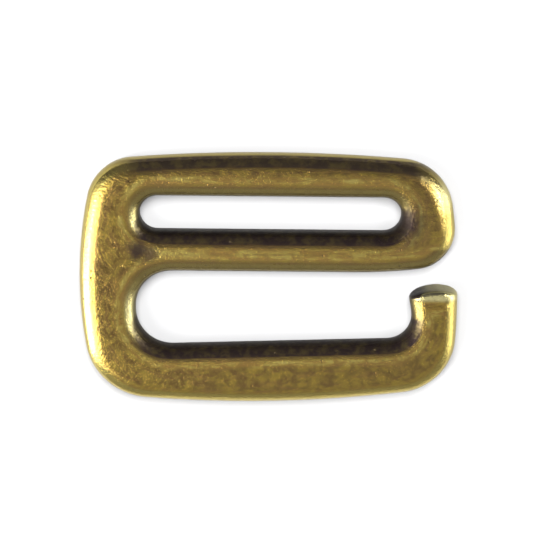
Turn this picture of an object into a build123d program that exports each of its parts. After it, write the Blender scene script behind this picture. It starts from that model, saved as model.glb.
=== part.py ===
"""Hook slider buckle for 25 mm webbing: one zinc casting, plated and antiqued.

The casting lies on its flat back, front face up. X runs along the webbing slots, Y across them
from the hook's bar to the top bar, Z out of the front face. The origin is the middle of the
casting's footprint, on the back. Lengths are millimetres, angles are degrees.

A closed slot near the top holds the sewn end of the webbing. Below it is an open slot, bounded by
a bar that turns up into a hook. A loop of webbing or a ring goes in through the mouth at the right.
"""

import math
import os

from build123d import *

# ---- webbing and the two slots ----
webbing_width = 25.4
webbing_play = 0.65  # what the closed slot has to spare, end to end
strap_slot_width = 3.54
hook_slot_width = 7.8  # at its closed end
hook_slot_step = 0.42  # how far the open slot reaches past the closed one, to the left

# ---- bars, measured across each one at its widest ----
top_bar_width = 4.38
middle_bar_width = 4.15
lower_bar_width = 5.77
left_bar_width = 5.62
loop_end_width = 5.8  # from the closed slot's right end to the casting's furthest right
thickness = 3.0

# ---- the pillow-shaped outside: each side is a shallow arc ----
top_side_radius = 170.0
bottom_side_radius = 130.0
left_side_radius = 42.0
right_side_radius = 75.0
top_side_peak = 0.2  # where each arc stands out furthest, from the middle of the casting
bottom_side_peak = -3.2
left_side_peak = 0.0
right_side_peak = -2.5
top_left_corner = 4.9
top_right_corner = 5.5
bottom_right_corner = 6.0
bottom_left_corner = 6.6
loop_corner = 4.1  # the loop's lower corner, beside the mouth

# ---- the middle bar's lower edge: straight, then sweeping up along the mouth ----
sweep_radius = 50.0
sweep_length = 4.5  # how far left of the closed slot's right end the sweep begins

# ---- the hook ----
mouth_gap = 2.14  # between the hook's tip and the loop
hook_neck_width = 4.1
lower_bar_rise = 1.9  # slope of the lower bar's inner edge, up towards the hook
neck_overhang = 1.2  # the neck's inner edge leans back over the slot by this much at the mouth
hook_inner_radius = 2.5
tip_dome_radius = 4.8  # the tip's end face bulges a little in plan
tip_face_lean = 3.0  # and has a little draft, for the mould to pull

# ---- rounding ----
front_round = 1.5
strap_slot_round = 1.45
back_round = 1.2
strap_slot_back_round = 0.8
tip_round = 0.35
cut_clearance = 0.3  # how far cutters run past what they cut

# ---- positions that follow from the sizes above ----
strap_slot_length = webbing_width + webbing_play
length = left_bar_width + hook_slot_step + strap_slot_length + loop_end_width
height = top_bar_width + strap_slot_width + middle_bar_width + hook_slot_width + lower_bar_width
left_x = -length / 2
right_x = length / 2
top_y = height / 2
bottom_y = -height / 2
strap_slot_left_x = left_x + left_bar_width + hook_slot_step
strap_slot_right_x = strap_slot_left_x + strap_slot_length
strap_slot_y = top_y - top_bar_width - strap_slot_width / 2
hook_slot_left_x = left_x + left_bar_width
hook_slot_top_y = strap_slot_y - strap_slot_width / 2 - middle_bar_width
hook_slot_bottom_y = hook_slot_top_y - hook_slot_width
neck_inner_x = right_x - hook_neck_width
neck_lip_x = neck_inner_x - neck_overhang
neck_middle_x = right_x - hook_neck_width / 2
sweep_x = strap_slot_right_x - sweep_length


def loop_edge_y(x):
    """Height of the loop's lower edge above the middle of the casting, along the sweep."""
    return hook_slot_top_y + sweep_radius - math.sqrt(sweep_radius**2 - (x - sweep_x) ** 2)


def neck_end_y():
    """Top of the neck before its tip is trimmed: just short of the loop."""
    return loop_edge_y(neck_lip_x) - cut_clearance


def rounded_at(sheet, x, y, radius):
    """The sheet with the corner nearest to x, y rounded."""
    corner = sheet.vertices().sort_by_distance((x, y, 0))[0]
    return fillet(corner, radius)


def pillow():
    """Outside of the casting in plan, before the slots are cut."""
    top = Pos(top_side_peak, top_y - top_side_radius) * Circle(top_side_radius)
    bottom = Pos(bottom_side_peak, bottom_y + bottom_side_radius) * Circle(bottom_side_radius)
    left = Pos(left_x + left_side_radius, left_side_peak) * Circle(left_side_radius)
    right = Pos(right_x - right_side_radius, right_side_peak) * Circle(right_side_radius)
    sheet = top & bottom & left & right
    sheet = rounded_at(sheet, left_x, top_y, top_left_corner)
    sheet = rounded_at(sheet, right_x, top_y, top_right_corner)
    sheet = rounded_at(sheet, right_x, bottom_y, bottom_right_corner)
    sheet = rounded_at(sheet, left_x, bottom_y, bottom_left_corner)
    return sheet


def strap_slot():
    """Closed slot in plan, with fully round ends."""
    middle_x = (strap_slot_left_x + strap_slot_right_x) / 2
    return Pos(middle_x, strap_slot_y) * SlotOverall(strap_slot_length, strap_slot_width)


def hook_slot():
    """Open slot in plan, with its mouth still a slit: the hook's neck is left long."""
    past_x = right_x + cut_clearance
    inner_corner_y = hook_slot_bottom_y + math.tan(math.radians(lower_bar_rise)) * (
        neck_inner_x - hook_slot_left_x
    )
    sweep_turn = math.asin((past_x - sweep_x) / sweep_radius)
    sweep = JernArc((sweep_x, hook_slot_top_y), (1, 0), sweep_radius, math.degrees(sweep_turn))
    rest = Polyline(
        sweep @ 1,
        (past_x, neck_end_y()),
        (neck_lip_x, neck_end_y()),
        (neck_inner_x, inner_corner_y),
        (hook_slot_left_x, hook_slot_bottom_y),
        (hook_slot_left_x, hook_slot_top_y),
        sweep @ 0,
    )
    sheet = make_face(sweep + rest)
    end_radius = 0.47 * hook_slot_width
    sheet = rounded_at(sheet, hook_slot_left_x, hook_slot_top_y, end_radius)
    sheet = rounded_at(sheet, hook_slot_left_x, hook_slot_bottom_y, end_radius)
    sheet = rounded_at(sheet, neck_inner_x, inner_corner_y, hook_inner_radius)
    return sheet


def outline():
    """The whole casting in plan, with the hook's neck left long."""
    sheet = pillow() - strap_slot() - hook_slot()
    return rounded_at(sheet, right_x, loop_edge_y(right_x), loop_corner)


def tip_cutter():
    """What is taken off the long neck: all of it outside a cylinder that leans back a little."""
    tip_y = loop_edge_y(neck_middle_x) - mouth_gap
    dome = Pos(neck_middle_x, tip_y - tip_dome_radius, 0) * Rot(X=tip_face_lean)
    dome = dome * Cylinder(tip_dome_radius, 4 * thickness)
    low_y = tip_y - tip_dome_radius / 3
    block = Box(
        right_x - neck_lip_x + 2 * cut_clearance,
        neck_end_y() + cut_clearance / 2 - low_y,
        2 * thickness,
        align=(Align.MIN, Align.MIN, Align.CENTER),
    )
    return Pos(neck_lip_x - cut_clearance, low_y, thickness / 2) * block - dome


def casting():
    """The slider: rounded all over, flat on the back."""
    solid = extrude(outline(), thickness)
    front = solid.faces().sort_by(Axis.Z)[-1]
    solid = fillet(front.outer_wire().edges(), front_round)
    front = solid.faces().filter_by(Axis.Z).sort_by(Axis.Z)[-1]
    solid = fillet(front.inner_wires()[0].edges(), strap_slot_round)
    back = solid.faces().filter_by(Axis.Z).sort_by(Axis.Z)[0]
    solid = fillet(back.outer_wire().edges(), back_round)
    back = solid.faces().filter_by(Axis.Z).sort_by(Axis.Z)[0]
    solid = fillet(back.inner_wires()[0].edges(), strap_slot_back_round)
    solid = solid - tip_cutter()
    tip_y = loop_edge_y(neck_middle_x) - mouth_gap
    end_face = solid.faces().sort_by_distance((neck_middle_x, tip_y, thickness / 2))[0]
    return fillet(end_face.edges(), tip_round)


if __name__ == "__main__":
    os.makedirs("parts", exist_ok=True)
    export_step(casting(), "parts/hook_slider.step")
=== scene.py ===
import bpy
import bmesh
import math
from mathutils import Matrix, Vector, noise
from mathutils.bvhtree import BVHTree


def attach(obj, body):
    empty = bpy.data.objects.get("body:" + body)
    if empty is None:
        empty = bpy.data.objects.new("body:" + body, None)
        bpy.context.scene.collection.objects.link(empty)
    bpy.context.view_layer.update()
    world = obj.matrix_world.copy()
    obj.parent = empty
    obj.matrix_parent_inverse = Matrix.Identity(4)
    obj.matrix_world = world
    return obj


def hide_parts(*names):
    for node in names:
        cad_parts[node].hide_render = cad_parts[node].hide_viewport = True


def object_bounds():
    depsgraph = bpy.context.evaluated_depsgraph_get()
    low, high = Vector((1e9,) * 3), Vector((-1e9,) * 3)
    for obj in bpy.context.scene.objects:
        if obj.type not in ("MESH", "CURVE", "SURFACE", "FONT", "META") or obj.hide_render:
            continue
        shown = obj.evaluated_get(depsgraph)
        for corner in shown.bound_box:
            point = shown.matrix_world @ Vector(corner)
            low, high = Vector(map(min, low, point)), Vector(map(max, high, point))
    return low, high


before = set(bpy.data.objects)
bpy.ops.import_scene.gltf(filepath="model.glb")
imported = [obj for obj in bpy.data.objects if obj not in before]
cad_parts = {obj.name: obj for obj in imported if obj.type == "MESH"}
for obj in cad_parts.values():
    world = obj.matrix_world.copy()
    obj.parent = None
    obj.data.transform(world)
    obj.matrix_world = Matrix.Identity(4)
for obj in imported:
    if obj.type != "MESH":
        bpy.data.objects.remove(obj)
cad_low, cad_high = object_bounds()


# ---- Camera ----
# It looks down on the slider as it lies on its back, from a little to the top bar's side, so that the
# slots' lower walls and the hook's end face show.
camera_data = bpy.data.cameras.new("camera")
camera = bpy.data.objects.new("camera", camera_data)
bpy.context.collection.objects.link(camera)
camera_distance = 0.26
field_width = 0.055
camera_tilt = math.radians(14.5)
camera_roll = math.radians(0.55)
aim = (0.000625, 0.00042, 0.0018)
camera.location = (
    aim[0],
    aim[1] + camera_distance * math.sin(camera_tilt),
    aim[2] + camera_distance * math.cos(camera_tilt),
)
camera.rotation_euler = (
    Matrix.Rotation(-camera_tilt, 3, "X") @ Matrix.Rotation(camera_roll, 3, "Z")
).to_euler()
camera_data.sensor_width = 36.0
camera_data.lens = camera_data.sensor_width * camera_distance / field_width
camera_data.clip_start = 0.01
bpy.context.scene.camera = camera
bpy.context.scene.view_settings.view_transform = "Standard"


# ---- Slider ----
# One zinc casting, plated in brass and then antiqued: a dark patina is laid over the plating and
# rubbed off again, so it stays in the slots and hollows and the edges come up bright.
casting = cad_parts["hook_slider"]
slider = bpy.data.objects.new("slider", casting.data.copy())
bpy.context.collection.objects.link(slider)
shape = bmesh.new()
shape.from_mesh(slider.data)
weld_distance = 0.000002
bmesh.ops.remove_doubles(shape, verts=shape.verts, dist=weld_distance)
shape.to_mesh(slider.data)
shape.free()

# An even skin of small faces.
skin_face_size = 0.00015
skin = slider.modifiers.new("even_skin", "REMESH")
skin.mode = "VOXEL"
skin.voxel_size = skin_face_size
skin.use_smooth_shade = True
relax = slider.modifiers.new("relax", "SMOOTH")
relax.factor = 0.5
relax.iterations = 6
seen = slider.evaluated_get(bpy.context.evaluated_depsgraph_get())
even_mesh = bpy.data.meshes.new_from_object(seen)
slider.modifiers.clear()
slider.data = even_mesh

# Wall faces that look at another part of the casting across a slot or the mouth: patina gathers on
# them, and every point of the skin keeps its distance to the nearest one.
wall_lean = 0.12
ray_lift = 0.00005
shape = bmesh.new()
shape.from_mesh(slider.data)
shape.normal_update()
body = BVHTree.FromBMesh(shape)
wall_faces = []
for face in shape.faces:
    if abs(face.normal.z) < wall_lean:
        middle = face.calc_center_median()
        if body.ray_cast(middle + face.normal * ray_lift, face.normal)[0] is not None:
            wall_faces.append([corner.index for corner in face.verts])
walls = BVHTree.FromPolygons([point.co for point in shape.verts], wall_faces)
from_slot = [walls.find_nearest(point.co)[3] for point in shape.verts]


# Tumbling wears the front into crowned bars. Its points move up and down only, so the outline stays,
# and the hook's tip keeps a crisp lip.
def settle(points, passes):
    """Smooths the given points up and down only."""
    for each_pass in range(passes):
        bmesh.ops.smooth_vert(
            shape, verts=points, factor=0.5, use_axis_x=False, use_axis_y=False, use_axis_z=True
        )


tumbling_passes = 24
front_facing = 0.72
hook_start_x = 0.0125
lip_low_y, lip_high_y = -0.0045, -0.0010
front_skin = [
    point
    for point in shape.verts
    if point.normal.z > front_facing
    and not (point.co.x > hook_start_x and lip_low_y < point.co.y < lip_high_y)
]
settle(front_skin, tumbling_passes)

# The left end and the loop's outer shoulder took more of the tumbling than the bars. The worn part
# shrinks a little at each step, so it fades into them.
left_end_x = -0.0100
left_end_fade = 0.00006
shoulder_start_x, shoulder_start_y = 0.0150, 0.0068
shoulder_fade = 0.00004
passes_per_step = 2
for step in range(tumbling_passes):
    worn_further = [
        point
        for point in front_skin
        if point.co.x < left_end_x - left_end_fade * step
        or (point.co.x > shoulder_start_x and point.co.y > shoulder_start_y + shoulder_fade * step)
    ]
    settle(worn_further, passes_per_step)
shape.normal_update()

# The loop's end is worn lower than the rest, most of all at its outer shoulder. Hand work on the
# pattern leaves the skin faintly wavy, with a hollow where the middle bar runs into the left bar and
# a slight dip behind the hook's lip. All of it fades out down the walls, and the lower two fifths of
# the thickness stay as cast.
as_cast, fade = 0.4, 0.5
hollow_x, hollow_y = -0.0126, 0.0030
hollow_length_scale = 0.8
hollow_reach = 0.0009
hollow_depth = 0.00010
loop_start_x, loop_low_y = 0.0140, -0.0008
loop_fall = 5.0
shoulder_x, shoulder_y = 0.0186, 0.0090
shoulder_width_scale = 0.7
shoulder_reach = 0.0022
shoulder_depth = 0.00020
hook_top_y = 0.0
dip_y = -0.0021
dip_reach = 0.00035
dip_depth = 0.00005
waviness = 0.000010
wave_length = 0.0021
top = cad_high[2]
for point in shape.verts:
    height = min(1.0, max(0.0, point.co.z / top - as_cast) / fade)
    along_bar = (point.co.x - hollow_x) * hollow_length_scale
    away = math.hypot(along_bar, point.co.y - hollow_y) / hollow_reach
    drop = hollow_depth * math.exp(-away * away)
    if point.co.y > loop_low_y and point.co.x > loop_start_x:
        drop += loop_fall * (point.co.x - loop_start_x) ** 2
    across_bar = (point.co.y - shoulder_y) * shoulder_width_scale
    away = math.hypot(point.co.x - shoulder_x, across_bar) / shoulder_reach
    drop += shoulder_depth * math.exp(-away * away)
    if point.co.x > hook_start_x and point.co.y < hook_top_y:
        away = (point.co.y - dip_y) / dip_reach
        drop += dip_depth * math.exp(-away * away)
    drop += waviness * (1.0 + noise.noise(point.co / wave_length))
    point.co.z -= drop * height
shape.to_mesh(slider.data)
shape.free()
slider.data.attributes.new("from_slot", "FLOAT", "POINT").data.foreach_set("value", from_slot)
for face in slider.data.polygons:
    face.use_smooth = True


def new_group(name, inputs, outputs):
    """An empty shader group with named sockets, and its two end nodes."""
    group = bpy.data.node_groups.new(name, "ShaderNodeTree")
    for title, kind, value in inputs:
        socket = group.interface.new_socket(name=title, in_out="INPUT", socket_type=kind)
        if value is not None:
            socket.default_value = value
    for title, kind in outputs:
        group.interface.new_socket(name=title, in_out="OUTPUT", socket_type=kind)
    return group, group.nodes.new("NodeGroupInput"), group.nodes.new("NodeGroupOutput")


def math_node(tree, operation, first, second):
    """A Math node fed by two sockets or numbers; returns its output."""
    node = tree.nodes.new("ShaderNodeMath")
    node.operation = operation
    for socket, value in zip(node.inputs, (first, second)):
        if hasattr(value, "is_linked"):
            tree.links.new(value, socket)
        else:
            socket.default_value = value
    return node.outputs["Value"]


def noise_node(tree, vector, scale, detail, roughness, distortion=0.0):
    """A noise pattern on the given coordinates; returns its factor."""
    node = tree.nodes.new("ShaderNodeTexNoise")
    node.inputs["Scale"].default_value = scale
    node.inputs["Detail"].default_value = detail
    node.inputs["Roughness"].default_value = roughness
    node.inputs["Distortion"].default_value = distortion
    tree.links.new(vector, node.inputs["Vector"])
    return node.outputs["Fac"]


def ramp_between(tree, value, low, high):
    """Smooth step of a value from low to high; returns 0 to 1."""
    node = tree.nodes.new("ShaderNodeMapRange")
    node.interpolation_type = "SMOOTHSTEP"
    node.inputs["From Min"].default_value = low
    node.inputs["From Max"].default_value = high
    tree.links.new(value, node.inputs["Value"])
    return node.outputs["Result"]


def blend_colours(tree, mask, first, second):
    """Two colours, sockets or values, mixed by a mask; returns the colour."""
    node = tree.nodes.new("ShaderNodeMix")
    node.data_type = "RGBA"
    tree.links.new(mask, node.inputs["Factor"])
    for title, value in (("A", first), ("B", second)):
        socket = [s for s in node.inputs if s.name == title and s.type == "RGBA"][0]
        if hasattr(value, "is_linked"):
            tree.links.new(value, socket)
        else:
            socket.default_value = (*value, 1.0)
    return [s for s in node.outputs if s.type == "RGBA"][0]


# Mottled plating: cloudy patches, streaks that run along the slots' edges, and fine grain.
mottle, mottle_in, mottle_out = new_group(
    "mottled_plating",
    [("Vector", "NodeSocketVector", None), ("Slot Distance", "NodeSocketFloat", 0.0)],
    [("Patches", "NodeSocketFloat"), ("Streaks", "NodeSocketFloat"), ("Grain", "NodeSocketFloat")],
)
streak_stretch = 0.16
along = mottle.nodes.new("ShaderNodeSeparateXYZ")
mottle.links.new(mottle_in.outputs["Vector"], along.inputs["Vector"])
streak_place = mottle.nodes.new("ShaderNodeCombineXYZ")
for axis in ("X", "Y"):
    slowed = math_node(mottle, "MULTIPLY", along.outputs[axis], streak_stretch)
    mottle.links.new(slowed, streak_place.inputs[axis])
mottle.links.new(mottle_in.outputs["Slot Distance"], streak_place.inputs["Z"])
for title, vector, scale, detail, roughness, distortion in (
    ("Patches", mottle_in.outputs["Vector"], 1150.0, 6.0, 0.62, 0.2),
    ("Streaks", streak_place.outputs["Vector"], 2700.0, 4.0, 0.60, 0.2),
    ("Grain", mottle_in.outputs["Vector"], 4200.0, 3.0, 0.6, 0.0),
):
    pattern = noise_node(mottle, vector, scale, detail, roughness, distortion)
    mottle.links.new(pattern, mottle_out.inputs[title])

# Casting pits: small round pin holes, few and scattered, that hold patina.
pits, pits_in, pits_out = new_group(
    "casting_pits",
    [("Vector", "NodeSocketVector", None)],
    [("Holes", "NodeSocketFloat")],
)
pits_per_metre = 1300.0
cells = pits.nodes.new("ShaderNodeTexVoronoi")
cells.inputs["Scale"].default_value = pits_per_metre
pits.links.new(pits_in.outputs["Vector"], cells.inputs["Vector"])
chance = pits.nodes.new("ShaderNodeSeparateColor")
pits.links.new(cells.outputs["Color"], chance.inputs["Color"])
rare = ramp_between(pits, chance.outputs["Red"], 0.80, 0.95)
near = ramp_between(pits, cells.outputs["Distance"], 0.20, 0.06)
pits.links.new(math_node(pits, "MULTIPLY", rare, near), pits_out.inputs["Holes"])

# A spot with a ragged edge, for stains that the rubbing missed and places that it polished.
spot, spot_in, spot_out = new_group(
    "ragged_spot",
    [
        ("Vector", "NodeSocketVector", None),
        ("Centre", "NodeSocketVector", None),
        ("Radius", "NodeSocketFloat", 0.001),
        ("Raggedness", "NodeSocketFloat", 0.5),
    ],
    [("Mask", "NodeSocketFloat")],
)
apart = spot.nodes.new("ShaderNodeVectorMath")
apart.operation = "DISTANCE"
spot.links.new(spot_in.outputs["Vector"], apart.inputs[0])
spot.links.new(spot_in.outputs["Centre"], apart.inputs[1])
edge, core = 1.3, 0.2
reach = math_node(spot, "DIVIDE", apart.outputs["Value"], spot_in.outputs["Radius"])
rag = noise_node(spot, spot_in.outputs["Vector"], 1500.0, 4.0, 0.65)
rag = math_node(spot, "SUBTRACT", rag, 0.5)
rag = math_node(spot, "MULTIPLY", rag, spot_in.outputs["Raggedness"])
inside = ramp_between(spot, math_node(spot, "ADD", reach, rag), edge, core)
spot.links.new(inside, spot_out.inputs["Mask"])

# Antique brass, with painted shade on the slopes that face the dark side past the top bar. Its masks
# come from how level the skin is, which way it faces, how far it is from a slot's wall and where on
# the slider it is, and the mottling breaks most of them up.
antique_brass = bpy.data.materials.new("antique_brass")
antique_brass.use_nodes = True
tree = antique_brass.node_tree
tree.nodes.clear()
surface = tree.nodes.new("ShaderNodeOutputMaterial")
metal = tree.nodes.new("ShaderNodeBsdfPrincipled")
tree.links.new(metal.outputs["BSDF"], surface.inputs["Surface"])
place = tree.nodes.new("ShaderNodeTexCoord")
slot_distance = tree.nodes.new("ShaderNodeAttribute")
slot_distance.attribute_name = "from_slot"
mottling = tree.nodes.new("ShaderNodeGroup")
mottling.node_tree = mottle
tree.links.new(place.outputs["Object"], mottling.inputs["Vector"])
tree.links.new(slot_distance.outputs["Fac"], mottling.inputs["Slot Distance"])
pitting = tree.nodes.new("ShaderNodeGroup")
pitting.node_tree = pits
tree.links.new(place.outputs["Object"], pitting.inputs["Vector"])
facing = tree.nodes.new("ShaderNodeSeparateXYZ")
tree.links.new(place.outputs["Normal"], facing.inputs["Vector"])
across = tree.nodes.new("ShaderNodeSeparateXYZ")
tree.links.new(place.outputs["Object"], across.inputs["Vector"])
x, y = across.outputs["X"], across.outputs["Y"]
right_facing, top_facing, level = facing.outputs["X"], facing.outputs["Y"], facing.outputs["Z"]
distance = slot_distance.outputs["Fac"]
patches = mottling.outputs["Patches"]
streaks = mottling.outputs["Streaks"]
grain = mottling.outputs["Grain"]


def rise(value, low, high):
    """Mask that grows from 0 at low to 1 at high."""
    return ramp_between(tree, value, low, high)


def times(*factors):
    """Product of masks and numbers."""
    product = factors[0]
    for factor in factors[1:]:
        product = math_node(tree, "MULTIPLY", product, factor)
    return product


def plus(mask, amount):
    """A mask raised by an amount."""
    return math_node(tree, "ADD", mask, amount)


def strongest(*masks):
    """The highest of some masks at each place."""
    highest = masks[0]
    for mask in masks[1:]:
        highest = math_node(tree, "MAXIMUM", highest, mask)
    return highest


def without(mask, removed):
    """A mask less what another one takes away."""
    return times(mask, math_node(tree, "SUBTRACT", 1.0, removed))


def spot_at(centre, radius, raggedness=0.8):
    """Mask of one ragged spot on the slider."""
    node = tree.nodes.new("ShaderNodeGroup")
    node.node_tree = spot
    tree.links.new(place.outputs["Object"], node.inputs["Vector"])
    node.inputs["Centre"].default_value = centre
    node.inputs["Radius"].default_value = radius
    node.inputs["Raggedness"].default_value = raggedness
    return node.outputs["Mask"]


# Bare plating: yellow and brown patches, with orange-brown streaks along the bars.
yellow_brass = (0.48, 0.345, 0.069)
brown_brass = (0.44, 0.290, 0.072)
orange_brass = (0.42, 0.26, 0.080)
orange_strength = 0.72
plating = blend_colours(tree, rise(patches, 0.35, 0.65), brown_brass, yellow_brass)
orange = times(rise(streaks, 0.45, 0.62), orange_strength)
plating = blend_colours(tree, orange, plating, orange_brass)

# It is rubbed yellower on the rounded shoulders, and in broken lines just outside the slots' bands.
rubbed_brass = (0.59, 0.470, 0.130)
shoulder_rub = 0.90
shoulder = rise(level, 0.994, 0.930)
ridge = times(rise(distance, 0.0019, 0.0022), rise(distance, 0.0028, 0.0023))
ridge = times(ridge, rise(streaks, 0.60, 0.40), rise(patches, 0.30, 0.60))
rubbed = strongest(times(shoulder, shoulder_rub), ridge)
plating = blend_colours(tree, rubbed, plating, rubbed_brass)

# Use polishes the hook's lip, the slots' left ends and the loop's outer shoulder.
polished_brass = (0.85, 0.76, 0.34)
strap_slot_end = (-0.0142, 0.0060, 0.0025)
lip = times(rise(x, 0.0120, 0.0132), rise(y, -0.0021, -0.0016), rise(y, 0.0, -0.0004))
polished = lip
for centre, radius, strength in (
    ((-0.0140, -0.0036, 0.0025), 0.0030, 0.85),
    (strap_slot_end, 0.0019, 0.85),
    ((0.0178, 0.0090, 0.0025), 0.0019, 0.95),
):
    polished = strongest(polished, times(spot_at(centre, radius), shoulder, strength))
plating = blend_colours(tree, polished, plating, polished_brass)

# Thin patina, first as a band round each slot, least at the slots' left ends. The slots' lower edges
# face the dark side past the top bar, so they get more of the same dark colour there as painted
# shade.
band_edge, band_core = 0.00222, 0.00185
lower_edge_shade_strength, least_hold = 0.36, 0.62
end_rub = 0.85
sloping = rise(level, 0.9995, 0.975)
# Painted shade: extra dark colour on the slot edges that face the dark side past the top bar.
lower_edge_painted_shade = rise(top_facing, -0.02, 0.10)
patina_and_painted_shade = plus(times(lower_edge_painted_shade, lower_edge_shade_strength), least_hold)
patina_and_shade_band = times(rise(distance, band_edge, band_core), sloping, patina_and_painted_shade)
for centre, radius in (((-0.0138, -0.0036, 0.0025), 0.0034), (strap_slot_end, 0.0019)):
    patina_and_shade_band = without(patina_and_shade_band, times(spot_at(centre, radius), end_rub))

# Painted shade: the slope down the top bar's outer side faces the dark side past the top bar, and
# gets the same dark colour, fading out at the corners.
top_slope_shade_strength = 0.94
top_slope_painted_shade = times(rise(top_facing, 0.05, 0.24), rise(top_facing, 0.97, 0.88))
top_slope_painted_shade = times(top_slope_painted_shade, rise(x, -0.0165, -0.0125), rise(x, 0.0185, 0.0140))
patina_and_shade_band = strongest(patina_and_shade_band, times(top_slope_painted_shade, top_slope_shade_strength))

# The mottling breaks it up a little.
broken_share, whole_share = 0.18, 0.82
patina_and_shade_band = times(patina_and_shade_band, plus(times(rise(patches, 0.30, 0.60), broken_share), whole_share))

# None is left behind the hook's lip, apart from the hook's inner side.
behind_lip = times(rise(x, 0.0118, 0.0126), rise(y, -0.0040, -0.0030), rise(y, 0.0002, -0.0002))
patina_and_shade_band = without(patina_and_shade_band, times(behind_lip, rise(right_facing, -0.40, -0.15)))

# Stains at the strap slot's right end, in the hollow, and faintly on the left bar.
corner_stain = spot_at((0.0136, 0.0060, 0.0024), 0.0029)
stains = times(corner_stain, 0.97)
for centre, radius, raggedness, strength in (
    ((-0.0130, 0.0031, 0.0029), 0.0014, 1.2, 0.92),
    ((-0.0119, 0.0028, 0.0029), 0.0012, 1.2, 0.80),
    ((-0.0162, 0.0037, 0.0029), 0.0010, 0.8, 0.35),
):
    stains = strongest(stains, times(spot_at(centre, radius, raggedness), strength))

# A haze on the broad flats, with specks and pin holes everywhere.
# This colour is the thin patina, and also the painted shade on the slopes that face the dark side
# past the top bar.
thin_patina_and_shade_colour = (0.044, 0.029, 0.030)
haze_contrast, haze_least = 0.28, 0.19
haze = plus(times(rise(patches, 0.64, 0.36), haze_contrast), haze_least)
haze = times(haze, rise(level, 0.980, 0.999), rise(distance, 0.0022, 0.0029))
speck_hold, hole_hold = 0.28, 0.9
specks = times(rise(grain, 0.54, 0.72), speck_hold)
holes = times(pitting.outputs["Holes"], hole_hold)
thin_patina_and_shade_mask = strongest(haze, specks, holes, patina_and_shade_band, stains)
skin_colour = blend_colours(tree, thin_patina_and_shade_mask, plating, thin_patina_and_shade_colour)

# Thick patina: nearly black on the walls and the back, most of all inside the slots, less on the
# hook's tip, and some on the rounded edge at the strap slot's right end.
thick_patina = (0.018, 0.013, 0.010)
wall_hold, slot_wall_hold = 0.38, 0.43
tip_rub = 0.22
corner_hold = 0.55
steep = rise(level, 0.82, 0.40)
in_slot = times(rise(distance, 0.0024, 0.0004), slot_wall_hold)
wall_patina = times(steep, plus(in_slot, wall_hold))
wall_patina = without(wall_patina, times(spot_at((0.0184, -0.0015, 0.0015), 0.0030), tip_rub))
wall_patina = strongest(wall_patina, times(corner_stain, shoulder, corner_hold))
skin_colour = blend_colours(tree, wall_patina, skin_colour, thick_patina)
tree.links.new(skin_colour, metal.inputs["Base Color"])

# Patina is dull and hides the metal under it, and the painted shade on the slopes facing the dark
# side dulls it the same way. The grain and the pin holes give the skin its relief.
thin_hides, thick_hides = 0.45, 0.95
covered_by_patina_and_shade = times(strongest(patina_and_shade_band, stains), thin_hides)
covered_by_patina_and_shade = times(strongest(wall_patina, covered_by_patina_and_shade), thick_hides)
tree.links.new(math_node(tree, "SUBTRACT", 1.0, covered_by_patina_and_shade), metal.inputs["Metallic"])
metal.inputs["Specular IOR Level"].default_value = 0.06
polish_roughness, patch_roughness, patina_roughness = 0.14, 0.18, 0.30
roughness = plus(times(patches, patch_roughness), polish_roughness)
roughness = plus(roughness, times(wall_patina, patina_roughness))
tree.links.new(roughness, metal.inputs["Roughness"])
relief = tree.nodes.new("ShaderNodeBump")
relief.inputs["Strength"].default_value = 0.7
relief.inputs["Distance"].default_value = 0.00006
grain_height = math_node(tree, "SUBTRACT", grain, pitting.outputs["Holes"])
tree.links.new(grain_height, relief.inputs["Height"])
tree.links.new(relief.outputs["Normal"], metal.inputs["Normal"])

slider.data.materials.clear()
slider.data.materials.append(antique_brass)
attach(slider, "root")
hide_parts("hook_slider")


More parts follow.
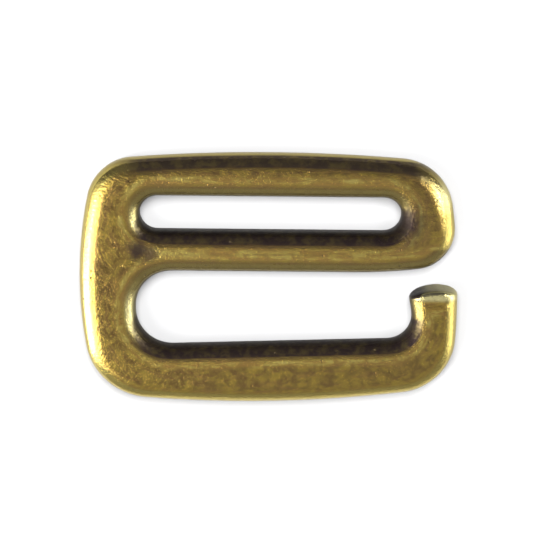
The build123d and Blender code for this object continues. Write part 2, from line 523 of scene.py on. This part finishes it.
# ---- Floor ----
# A plain sheet of matt white paper that the slider lies on, laid flat. It reaches far past the slider
# on all sides, so that no edge of it shows.
floor = bpy.data.objects.new("floor", bpy.data.meshes.new("floor"))
bpy.context.collection.objects.link(floor)
sheet = bmesh.new()
floor_half_width = 1.5
bmesh.ops.create_grid(sheet, x_segments=1, y_segments=1, size=floor_half_width)
sheet.to_mesh(floor.data)
sheet.free()
white_paper = bpy.data.materials.new("white_paper")
white_paper.use_nodes = True
paper = white_paper.node_tree.nodes["Principled BSDF"]
paper.inputs["Base Color"].default_value = (0.36, 0.36, 0.36, 1.0)
paper.inputs["Roughness"].default_value = 0.9
paper.inputs["Specular IOR Level"].default_value = 0.1
paper.inputs["Emission Color"].default_value = (1.0, 1.0, 1.0, 1.0)
paper.inputs["Emission Strength"].default_value = 0.03
floor.data.materials.append(white_paper)


# ---- Studio light ----
# Large soft boxes to the left and right, a small lamp high on the right for the loop's shoulder, and
# paler boxes overhead and in front of the lower bar; the side past the top bar is dark.
def soft_box(name, place, width, height, power):
    """An area light that faces the slider."""
    lamp = bpy.data.lights.new(name, "AREA")
    lamp.shape = "RECTANGLE"
    lamp.size = width
    lamp.size_y = height
    lamp.energy = power
    box = bpy.data.objects.new(name, lamp)
    bpy.context.collection.objects.link(box)
    box.location = place
    box.rotation_euler = (-Vector(place)).to_track_quat("-Z", "Y").to_euler()
    return box


soft_box("left_box", (-0.40, -0.165, 0.25), 0.16, 0.62, 4.2)
soft_box("left_back_box", (-0.40, 0.02, 0.27), 0.22, 0.50, 0.45)
soft_box("right_box", (0.47, -0.08, 0.060), 0.34, 0.20, 0.80)
soft_box("right_upper_box", (0.40, -0.08, 0.22), 0.32, 0.20, 0.24)
soft_box("right_lamp", (0.33, 0.075, 0.37), 0.12, 0.12, 0.72)
soft_box("top_box", (0.0, -0.20, 0.56), 0.70, 0.42, 0.44)
soft_box("front_box", (0.0, -0.455, 0.21), 1.00, 0.44, 0.40)

# One more lamp is flagged off the metal and lights only the paper, to keep it white.
paper_lamp = soft_box("paper_lamp", (0.0, 0.21, 0.45), 0.25, 0.25, 6.0)
paper_only = bpy.data.collections.new("paper_only")
paper_only.objects.link(floor)
paper_lamp.light_linking.receiver_collection = paper_only

room = bpy.data.worlds.new("room")
bpy.context.scene.world = room
room.use_nodes = True
room.node_tree.nodes["Background"].inputs["Color"].default_value = (1.0, 1.0, 1.5, 1.0)
room.node_tree.nodes["Background"].inputs["Strength"].default_value = 0.08
